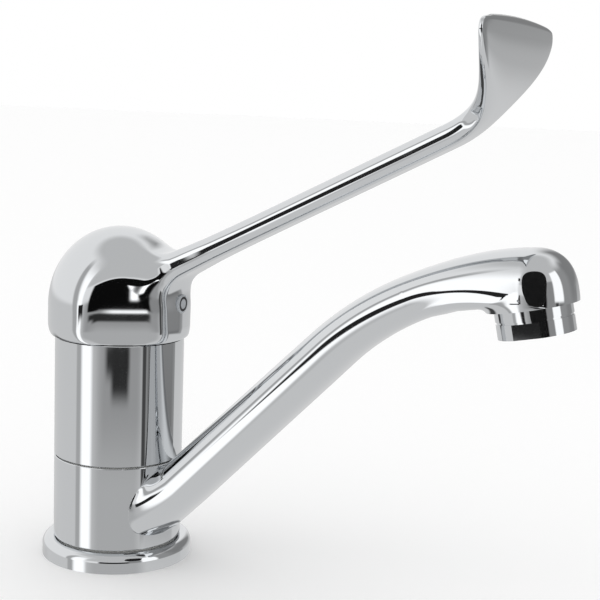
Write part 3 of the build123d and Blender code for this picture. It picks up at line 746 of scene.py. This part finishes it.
tube, nose = spout_tube()
arm_grid = np.concatenate([spout_root(tube), tube, nose])
arm_normals = grid_normals(arm_grid)
arm_normals[-len(nose):] = gradient(spout_distance, nose)
quarter = np.linspace(0, math.pi / 2, 7)
ring_profile = [(RING_MOUTH, RING[0]), (RING_RADIUS - RING_EDGE, RING[0])]
ring_profile += [(RING_RADIUS - RING_EDGE * (1 - math.sin(a)), RING[0] + RING_EDGE * (1 - math.cos(a)))
                 for a in quarter]
ring_profile += [(RING_RADIUS - RING_EDGE * (1 - math.cos(a)), RING[1] - RING_EDGE * (1 - math.sin(a)))
                 for a in quarter]
ring_profile += [(RING_MOUTH, RING[1]), (RING_BORE, RING[1]), (RING_BORE, RING[0])]
ring_grid = revolve(ring_profile)
add_surface("spout_casting", [(cut_to_nozzle(arm_grid), arm_normals), (ring_grid, grid_normals(ring_grid))],
            materials["polished_chrome"], "spout", "spout")


# Stage: a pale floor, and a studio that only reflections see

# the direction (radians about Z) that the studio's azimuths count from
FRONT = math.radians(-65)
# what chrome sees where no card is, and the half side of the floor in metres
STUDIO_LEVEL = 0.92
FLOOR_REACH = 9.0
# a flag near the nose: distance and half sizes in metres, direction from the nose, and power of its outline
FLAG_DISTANCE = 0.12
FLAG_HALF = (0.064, 0.074)
FLAG_TURN = FRONT + math.radians(-3)
FLAG_RISE = math.radians(22)
FLAG_POWER = 0.7
FLAG_CORNERS = 48

# Cards of the studio, each over the ones before it. Angles in degrees: azimuth from the front, to the left
# negative, and elevation. Then brightness, and the width of the soft edge in azimuth and elevation.
STUDIO = [
    # the table all round, and its nearer part in front, where less light falls
    ((-200, 200), (-95, -2), 0.68, 1, 6),
    ((-37, 47), (-30, -2), 0.5, 24, 12),
    ((-27, 47), (-15.5, -2), 0.37, 20, 4),
    # a dark patch of the table behind, which the edge of the paddle shows
    ((-160, -128), (-62, -24), 0.06, 16, 14),
    # the ceiling, and the wall above the dark front
    ((-200, 200), (60, 95), 0.6, 1, 16),
    ((-50, 90), (17, 95), 0.6, 50, 5),
    # the edge of the window light, the window light itself and the bar across it
    ((-73, -63), (-60, 50), 0.46, 4, 20),
    ((-62, -42), (-75, 40), 1.35, 8, 30),
    ((-56, -36), (-10.5, -1.8), 0.02, 4, 1.2),
    # the dark front of the room, with a small lamp, and the pale edge of its floor
    ((-19, 30), (-9.7, 14.5), 0.004, 6, 1.2),
    ((7, 21), (-10.8, -9.7), 1.4, 5, 1),
    ((-16, 24), (-12.4, -10.9), 0.03, 10, 1),
    ((-6, 24), (-13.4, -10.9), 0.03, 10, 1),
    ((14.5, 17.2), (-6.5, 2), 1.6, 1.5, 1.5),
    # right of the front: grey wall, a dark stand, then the dim side
    ((26, 57), (-10, 26), 0.3, 5, 4),
    ((49, 57), (-19, 24), 0.07, 3, 2),
    ((57, 126), (-19, 4), 0.36, 6, 4),
    ((58, 118), (-17, -3), 0.17, 8, 4),
    ((70, 118), (-12, 45), 0.33, 12, 20),
    ((100, 165), (-3, 45), 0.25, 20, 24),
    ((46, 72), (0, 44), 1.3, 5, 5),
]


def soft_band(owner, value, edges, soft):
    """1 between two edges and 0 outside them: the product of a smooth step up and a smooth step down."""
    steps = [add_node(owner, "ShaderNodeMapRange",
                      {"Value": value, "From Min": edge - soft / 2, "From Max": edge + soft / 2,
                       "To Min": before, "To Max": after}, interpolation_type="SMOOTHSTEP").outputs["Result"]
             for edge, before, after in zip(edges, (0.0, 1.0), (1.0, 0.0))]
    return add_node(owner, "ShaderNodeMath", dict(enumerate(steps)), operation="MULTIPLY").outputs["Value"]


def studio_world():
    """Even white for the camera and the floor; chrome sees the studio's cards by their direction."""
    world = bpy.data.worlds.new("studio")
    world.use_nodes = True
    tree = world.node_tree
    coords = add_node(world, "ShaderNodeTexCoord")
    facing = add_node(world, "ShaderNodeVectorRotate", {"Vector": coords.outputs["Generated"], "Angle": -FRONT},
                      rotation_type="Z_AXIS")
    parts = add_node(world, "ShaderNodeSeparateXYZ", {"Vector": facing.outputs["Vector"]})
    turn = add_node(world, "ShaderNodeMath", {0: parts.outputs["Y"], 1: parts.outputs["X"]},
                    operation="ARCTAN2")
    rise = add_node(world, "ShaderNodeMath", {0: parts.outputs["Z"]}, operation="ARCSINE")
    azimuth, elevation = [
        add_node(world, "ShaderNodeMath", {0: angle.outputs["Value"], 1: 180 / math.pi},
                 operation="MULTIPLY").outputs["Value"] for angle in (turn, rise)]
    level = STUDIO_LEVEL
    for sides, heights, brightness, soft_side, soft_up in STUDIO:
        bands = {0: soft_band(world, azimuth, sides, soft_side),
                 1: soft_band(world, elevation, heights, soft_up)}
        share = add_node(world, "ShaderNodeMath", bands, operation="MULTIPLY").outputs["Value"]
        card = add_node(world, "ShaderNodeMix", {"Factor": share, "A": level, "B": brightness})
        level = card.outputs["Result"]
    path = add_node(world, "ShaderNodeLightPath")
    chosen = add_node(world, "ShaderNodeMix", {"Factor": path.outputs["Is Glossy Ray"], "A": 1.0, "B": level})
    tree.links.new(chosen.outputs["Result"], tree.nodes["Background"].inputs["Strength"])
    tree.nodes["Background"].inputs["Color"].default_value = (1, 1, 1, 1)
    return world


def flat_face(name, corners, material_name, colour, roughness):
    """One flat face with a plain material, from its corners in metres."""
    mesh = bpy.data.meshes.new(name)
    mesh.from_pydata(corners, [], [tuple(range(len(corners)))])
    material, _ = new_material(material_name, Base_Color=linear(colour), Roughness=roughness)
    mesh.materials.append(material)
    obj = bpy.data.objects.new(name, mesh)
    bpy.context.scene.collection.objects.link(obj)
    return obj


bpy.context.scene.world = studio_world()

floor_corners = [(FLOOR_REACH * a, FLOOR_REACH * b, 0) for a, b in ((-1, -1), (1, -1), (1, 1), (-1, 1))]
floor = flat_face("floor", floor_corners, "stage_floor", "ffffff", 0.9)
floor.visible_glossy = False

# A black flag near the nose, as photographers use, gives the nose its dark middle.
flag_ahead = Vector((math.cos(FLAG_TURN) * math.cos(FLAG_RISE), math.sin(FLAG_TURN) * math.cos(FLAG_RISE),
                     math.sin(FLAG_RISE)))
flag_side = Vector((-math.sin(FLAG_TURN), math.cos(FLAG_TURN), 0))
flag_up = flag_ahead.cross(flag_side)
flag_middle = Vector(NOSE * MM) + flag_ahead * FLAG_DISTANCE
flag_turns = turns(FLAG_CORNERS)
flag_edge = zip(squared_off(np.cos(flag_turns), FLAG_POWER), squared_off(np.sin(flag_turns), FLAG_POWER))
flag_corners = [flag_middle + flag_side * (FLAG_HALF[0] * a) + flag_up * (FLAG_HALF[1] * b)
                for a, b in flag_edge]
flag = flat_face("flag", flag_corners, "stage_black_cloth", "0a0a0a", 1.0)
flag.visible_camera = False
flag.visible_diffuse = False
flag.visible_shadow = False


# Camera, as the photograph was taken: its place in metres and its three directions

CAMERA_PLACE = Vector((0.2525, -0.3895, 0.1669))
CAMERA_RIGHT = Vector((0.9033, 0.4274, 0.0360))
CAMERA_UP = Vector((-0.0982, 0.1243, 0.9874))
CAMERA_AHEAD = Vector((-0.4176, 0.8955, -0.1543))

camera_data = bpy.data.cameras.new("camera")
camera_data.lens = 78.0
camera_data.sensor_width = 36.0
camera_data.clip_start = 0.01
camera = bpy.data.objects.new("camera", camera_data)
bpy.context.scene.collection.objects.link(camera)
turned = Matrix((CAMERA_RIGHT, CAMERA_UP, -CAMERA_AHEAD)).transposed().to_4x4()
camera.matrix_world = Matrix.Translation(CAMERA_PLACE) @ turned
bpy.context.scene.camera = camera
bpy.context.scene.view_settings.view_transform = "Standard"
